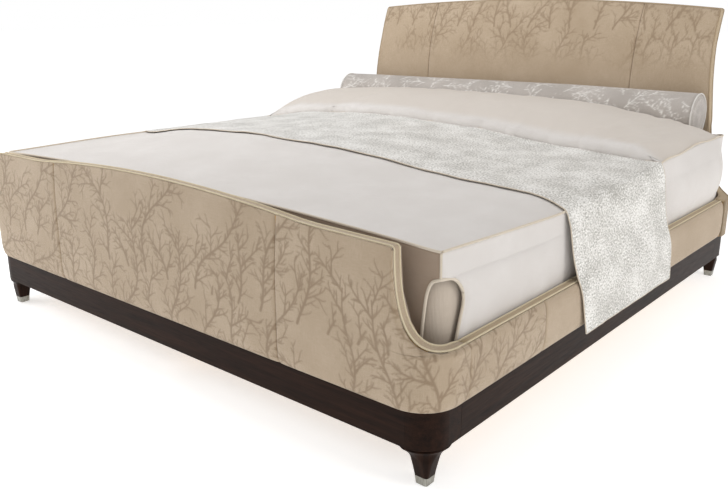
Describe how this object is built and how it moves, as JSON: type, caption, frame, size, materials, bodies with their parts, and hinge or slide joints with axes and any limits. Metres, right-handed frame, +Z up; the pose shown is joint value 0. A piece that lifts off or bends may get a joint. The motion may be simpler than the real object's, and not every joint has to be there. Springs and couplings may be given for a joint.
{
  "type": "upholstered sleigh bed",
  "caption": "Upholstered king sleigh bed with a curled headboard, swept low footboard, corded edges and dark wood base, dressed with coverlet, runner and bolster.",
  "frame": {"origin": "on the floor, at the centre of the overall footprint", "axes": "+X to the right when standing at the foot and facing the head, +Y from foot to head, +Z up"},
  "size_m": [2.076, 2.2615, 1.1265],
  "materials": {
    "tan_jacquard": "woven jacquard with a tone-on-tone branch pattern",
    "cream_piping": "plain woven cord welt",
    "edge_fabric": "plain woven",
    "self_piping": "plain woven cord welt",
    "back_fabric": "plain woven",
    "cream_lining": "plain woven",
    "frame_timber": "sawn, unfinished",
    "slat_wood": "planed, unfinished",
    "espresso_wood": "dark espresso stain, satin lacquer",
    "pewter_metal": "brushed pewter plating",
    "zinc_steel": "zinc plated",
    "black_steel": "black powder coat",
    "black_plastic": "moulded, fine texture",
    "ticking": "woven mattress ticking",
    "ivory_matelasse": "ivory woven coverlet with corded seams",
    "pillow_cotton": "plain cotton",
    "silver_velvet": "mottled silver champagne velvet",
    "silver_damask": "silver damask weave"
  },
  "bodies": {
    "root": {"footboard_core": "frame_timber", "footboard_center_panel": "tan_jacquard", "footboard_left_panel": "tan_jacquard", "footboard_right_panel": "tan_jacquard", "footboard_lining": "cream_lining", "footboard_edge_band": "edge_fabric", "footboard_piping": "cream_piping", "foot_plinth": "espresso_wood", "left_rail_board": "frame_timber", "left_rail_cover": "tan_jacquard", "left_rail_lining": "cream_lining", "left_rail_welt": "cream_piping", "left_rail_plinth": "espresso_wood", "left_ledger": "frame_timber", "right_rail_board": "frame_timber", "right_rail_cover": "tan_jacquard", "right_rail_lining": "cream_lining", "right_rail_welt": "cream_piping", "right_rail_plinth": "espresso_wood", "right_ledger": "frame_timber", "headboard_core": "frame_timber", "headboard_center_panel": "tan_jacquard", "headboard_left_panel": "tan_jacquard", "headboard_right_panel": "tan_jacquard", "headboard_back_cover": "back_fabric", "headboard_edge_band": "edge_fabric", "headboard_piping": "self_piping", "head_plinth": "espresso_wood", "front_left_leg": "espresso_wood", "front_right_leg": "espresso_wood", "rear_left_leg": "espresso_wood", "rear_right_leg": "espresso_wood", "front_left_ferrule": "pewter_metal", "front_right_ferrule": "pewter_metal", "rear_left_ferrule": "pewter_metal", "rear_right_ferrule": "pewter_metal", "corner_blocks": "frame_timber", "leg_bolts": "zinc_steel", "center_beam": "frame_timber", "beam_brackets": "zinc_steel", "slats": "slat_wood", "center_leg_foot": "frame_timber", "center_leg_middle": "frame_timber", "center_leg_head": "frame_timber", "leg_inserts": "zinc_steel", "rail_hook_plates": "black_steel", "rail_receiver_plates": "black_steel", "foundation": "ticking"},
    "bedding": {"mattress": "ticking", "coverlet": "ivory_matelasse", "left_pillow": "pillow_cotton", "right_pillow": "pillow_cotton", "runner": "silver_velvet"},
    "bolster_roll": {"bolster": "silver_damask"},
    "leveller_foot": {"leveller_pad_foot": "black_plastic"},
    "screw_foot": {"leveller_stud_foot": "zinc_steel"},
    "leveller_middle": {"leveller_pad_middle": "black_plastic"},
    "screw_middle": {"leveller_stud_middle": "zinc_steel"},
    "leveller_head": {"leveller_pad_head": "black_plastic"},
    "screw_head": {"leveller_stud_head": "zinc_steel"}
  },
  "joints": [
    {"name": "bedding_lift", "type": "slide", "parent": "root", "child": "bedding", "axis": [0, 0, 1], "range_m": [0, 0.3]},
    {"name": "bolster_lift", "type": "slide", "parent": "bedding", "child": "bolster_roll", "axis": [0, 0, 1], "range_m": [0, 0.25]},
    {"name": "leveller_foot_travel", "type": "slide", "parent": "root", "child": "leveller_foot", "axis": [0, 0, -1], "range_m": [-0.012, 0.012]},
    {"name": "leveller_foot_turn", "type": "hinge", "parent": "leveller_foot", "child": "screw_foot", "pos_m": [0, -0.6706, 0.03], "axis": [0, 0, 1], "range_deg": [-2900, 2900]},
    {"name": "leveller_middle_travel", "type": "slide", "parent": "root", "child": "leveller_middle", "axis": [0, 0, -1], "range_m": [-0.012, 0.012]},
    {"name": "leveller_middle_turn", "type": "hinge", "parent": "leveller_middle", "child": "screw_middle", "pos_m": [0, -0.02059, 0.03], "axis": [0, 0, 1], "range_deg": [-2900, 2900]},
    {"name": "leveller_head_travel", "type": "slide", "parent": "root", "child": "leveller_head", "axis": [0, 0, -1], "range_m": [-0.012, 0.012]},
    {"name": "leveller_head_turn", "type": "hinge", "parent": "leveller_head", "child": "screw_head", "pos_m": [0, 0.6294, 0.03], "axis": [0, 0, 1], "range_deg": [-2900, 2900]}
  ],
  "couplings": [
    {"joint": "leveller_foot_turn", "follows": "leveller_foot_travel", "rad_per_m": 4188.8},
    {"joint": "leveller_middle_turn", "follows": "leveller_middle_travel", "rad_per_m": 4188.8},
    {"joint": "leveller_head_turn", "follows": "leveller_head_travel", "rad_per_m": 4188.8}
  ]
}
